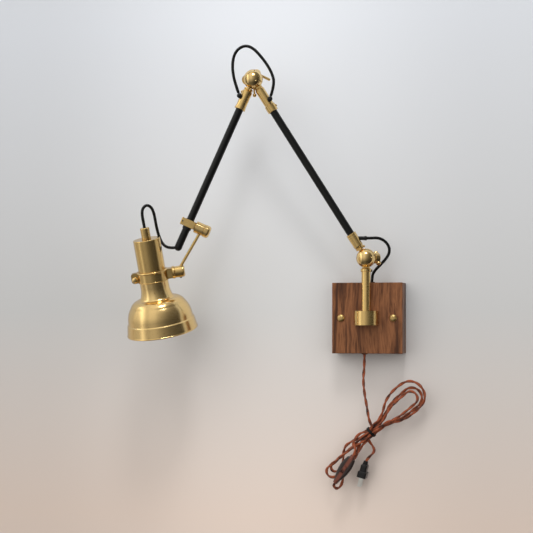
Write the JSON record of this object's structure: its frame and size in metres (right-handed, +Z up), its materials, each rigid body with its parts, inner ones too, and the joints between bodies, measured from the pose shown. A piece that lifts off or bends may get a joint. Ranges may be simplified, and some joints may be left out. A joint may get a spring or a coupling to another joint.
{
  "type": "wall lamp",
  "caption": "Plug-in wall lamp: walnut box, swivelling brass stem and black tube arms on ball knuckles that carry a bell shade in a ring.",
  "frame": {"origin": "centre of the wall box's back face, on the wall, midway between the two strap holes", "axes": "+X to the right as seen from the room, +Y into the wall, +Z up"},
  "size_m": [0.4955, 0.1773, 0.7507],
  "materials": {
    "walnut": "oiled walnut, satin",
    "steel": "plain zinc-grey",
    "brass": "satin lacquered",
    "brass_bright": "polished",
    "black_tube": "satin black",
    "black_rubber": "soft matt black",
    "clear_liner": "matt black",
    "porcelain": "glazed white",
    "copper_shell": "bright",
    "bulb_plastic": "white",
    "bulb_glass": "frosted",
    "flex_black": "satin black",
    "cord_brown": "twisted woven cover, rust and black",
    "dark_plastic": "dark brown",
    "terminal_plastic": "ivory"
  },
  "bodies": {
    "wall": {"wall_box": "walnut", "wall_strap": "steel", "box_screws": "brass_bright", "hub": "brass", "inner_screws": "steel", "box_bushes": "black_rubber", "terminal_block": "terminal_plastic", "flex_base": "flex_black", "mains_lead": "cord_brown", "cord_hank": "cord_brown", "plug_lead": "cord_brown", "cord_tie": "black_rubber", "switch_case": "dark_plastic", "plug_body": "dark_plastic", "plug_blades": "steel"},
    "stem": {"stem": "brass", "stem_retainer": "brass", "base_cup": "brass", "base_cap": "brass_bright", "base_screws": "steel"},
    "base_clamp": {"base_clamp_screw": "brass"},
    "arm1": {"base_ball": "brass", "lower_ferrule": "brass", "arm1_tube": "black_tube", "upper_fitting": "brass", "arm1_grommets": "black_rubber", "elbow_cup": "brass", "elbow_cap": "brass_bright", "arm1_fixings": "brass", "arm1_inner_lead": "flex_black", "flex_elbow": "flex_black"},
    "elbow_clamp": {"elbow_clamp_screw": "brass_bright"},
    "arm2": {"elbow_ball": "brass", "arm2_ferrule": "brass", "arm2_tube": "black_tube", "arm2_grommet": "black_rubber", "arm2_end_boot": "black_rubber", "arm2_set_screws": "brass", "arm2_inner_lead": "flex_black", "flex_head": "flex_black"},
    "liner": {"clamp_liner": "clear_liner"},
    "clamp": {"tube_clamp": "brass", "clamp_pinch_screw": "steel", "pivot_stud": "brass"},
    "pivot_knob": {"pivot_knob": "brass_bright"},
    "rod": {"rod_eye": "brass", "tie_rod": "brass", "lower_barrel": "brass", "barrel_set_screw": "steel"},
    "ring": {"head_ring": "brass", "head_pin": "brass", "ring_screw": "brass_bright"},
    "head": {"socket_cup": "brass", "cord_nipple": "brass", "shade": "brass_bright", "lamp_socket": "porcelain", "socket_shell": "copper_shell", "bulb_base": "bulb_plastic", "bulb_glass": "bulb_glass"},
    "switch": {"switch_button": "dark_plastic"}
  },
  "joints": [
    {"name": "base_swivel", "type": "hinge", "parent": "wall", "child": "stem", "pos_m": [0, -0.056, 0], "axis": [0, 0, 1], "range_deg": [-8, 150], "deforming": ["flex_base"]},
    {"name": "base_clamp_turn", "type": "hinge", "parent": "stem", "child": "base_clamp", "pos_m": [0, -0.056, 0.101], "axis": [0.7826, 0.6225, 0], "continuous": true},
    {"name": "arm1_tilt", "type": "hinge", "parent": "stem", "child": "arm1", "pos_m": [0, -0.056, 0.101], "axis": [-0.2334, 0.9724, 0], "range_deg": [-43, 60], "deforming": ["flex_base"]},
    {"name": "elbow_clamp_turn", "type": "hinge", "parent": "arm1", "child": "elbow_clamp", "pos_m": [-0.18435, -0.10026, 0.4009], "axis": [0.1257, 0.759, 0.6388], "range_deg": [-40, 40]},
    {"name": "elbow_fold", "type": "hinge", "parent": "arm1", "child": "arm2", "pos_m": [-0.18435, -0.10026, 0.4009], "axis": [-0.2334, 0.9724, 0], "range_deg": [-2.5, 110], "deforming": ["flex_elbow"]},
    {"name": "clamp_slide", "type": "slide", "parent": "arm2", "child": "liner", "axis": [-0.3955, -0.095, -0.9135], "range_m": [-0.008, 0.02], "deforming": ["flex_head"]},
    {"name": "clamp_turn", "type": "hinge", "parent": "liner", "child": "clamp", "pos_m": [-0.28932, -0.12546, 0.15844], "axis": [-0.3955, -0.095, -0.9135], "range_deg": [-60, 60], "deforming": ["flex_head"]},
    {"name": "pivot_knob_turn", "type": "hinge", "parent": "clamp", "child": "pivot_knob", "pos_m": [-0.28932, -0.12546, 0.15844], "axis": [0.8883, 0.2133, -0.4067], "continuous": true},
    {"name": "rod_swing", "type": "hinge", "parent": "clamp", "child": "rod", "pos_m": [-0.28932, -0.12546, 0.15844], "axis": [0.8883, 0.2133, -0.4067], "range_deg": [-60, 60], "deforming": ["flex_head"]},
    {"name": "head_tilt", "type": "hinge", "parent": "rod", "child": "ring", "pos_m": [-0.34785, -0.13951, 0.07144], "axis": [0.9605, 0.2306, 0.1559], "range_deg": [-45, 45], "deforming": ["flex_head"]},
    {"name": "head_turn", "type": "hinge", "parent": "ring", "child": "head", "pos_m": [-0.34785, -0.13951, 0.07144], "axis": [-0.0952, -0.2542, 0.9625], "range_deg": [-90, 90], "deforming": ["flex_head"]},
    {"name": "switch_slide", "type": "slide", "parent": "wall", "child": "switch", "axis": [-0.5586, 0, -0.8294], "range_m": [0, 0.006]}
  ]
}
